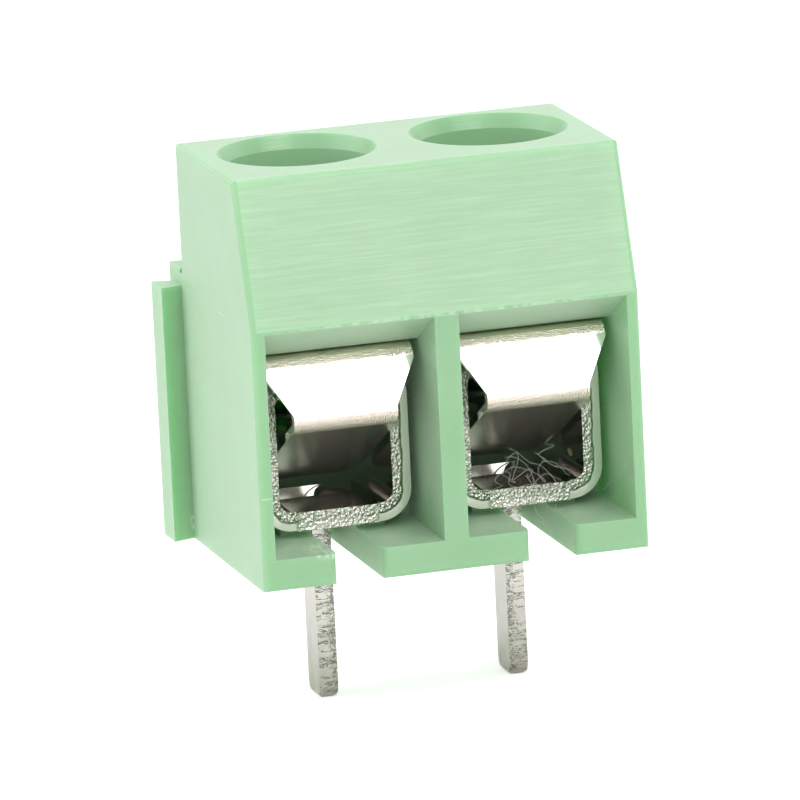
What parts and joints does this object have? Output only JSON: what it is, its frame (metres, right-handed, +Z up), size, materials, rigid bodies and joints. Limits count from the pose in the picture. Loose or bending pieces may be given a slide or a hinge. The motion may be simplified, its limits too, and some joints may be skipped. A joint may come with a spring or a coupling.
{
  "type": "pcb screw terminal",
  "caption": "Screw terminal block for a circuit board: wire cells open at the front, spring wire guards, slotted screws in wells and flat solder pins.",
  "frame": {"origin": "on the board's surface under the body, midway between the two solder pins", "axes": "+Z up out of the board along the screws, +X along the row of poles, wires enter along +Y"},
  "size_m": [0.0106, 0.0076, 0.014],
  "materials": {
    "green_polyamide": "moulded, satin, pale green",
    "tinned_brass": "tin-plated, with rough sheared edges",
    "spring_leaf": "bright, nickel-plated",
    "plated_screw": "zinc-plated"
  },
  "bodies": {
    "root": {"housing": "green_polyamide", "terminal_1": "tinned_brass", "terminal_2": "tinned_brass"},
    "guard_1": {"wire_guard_1": "spring_leaf"},
    "guard_2": {"wire_guard_2": "spring_leaf"},
    "screw_1": {"screw_1": "plated_screw"},
    "screw_2": {"screw_2": "plated_screw"}
  },
  "joints": [
    {"name": "guard_1_lift", "type": "slide", "parent": "root", "child": "guard_1", "axis": [0, 0, 1], "range_m": [-0.00045, 0.0018], "deforming": ["wire_guard_1"]},
    {"name": "guard_2_lift", "type": "slide", "parent": "root", "child": "guard_2", "axis": [0, 0, 1], "range_m": [-0.00045, 0.0018], "deforming": ["wire_guard_2"]},
    {"name": "screw_1_turn", "type": "hinge", "parent": "guard_1", "child": "screw_1", "pos_m": [-0.0025, 0, 0.006], "axis": [0, 0, 1], "range_deg": [-360, 1440]},
    {"name": "screw_2_turn", "type": "hinge", "parent": "guard_2", "child": "screw_2", "pos_m": [0.0025, 0, 0.006], "axis": [0, 0, 1], "range_deg": [-360, 1440]}
  ],
  "couplings": [
    {"joint": "screw_1_turn", "follows": "guard_1_lift", "rad_per_m": 13963},
    {"joint": "screw_2_turn", "follows": "guard_2_lift", "rad_per_m": 13963}
  ]
}
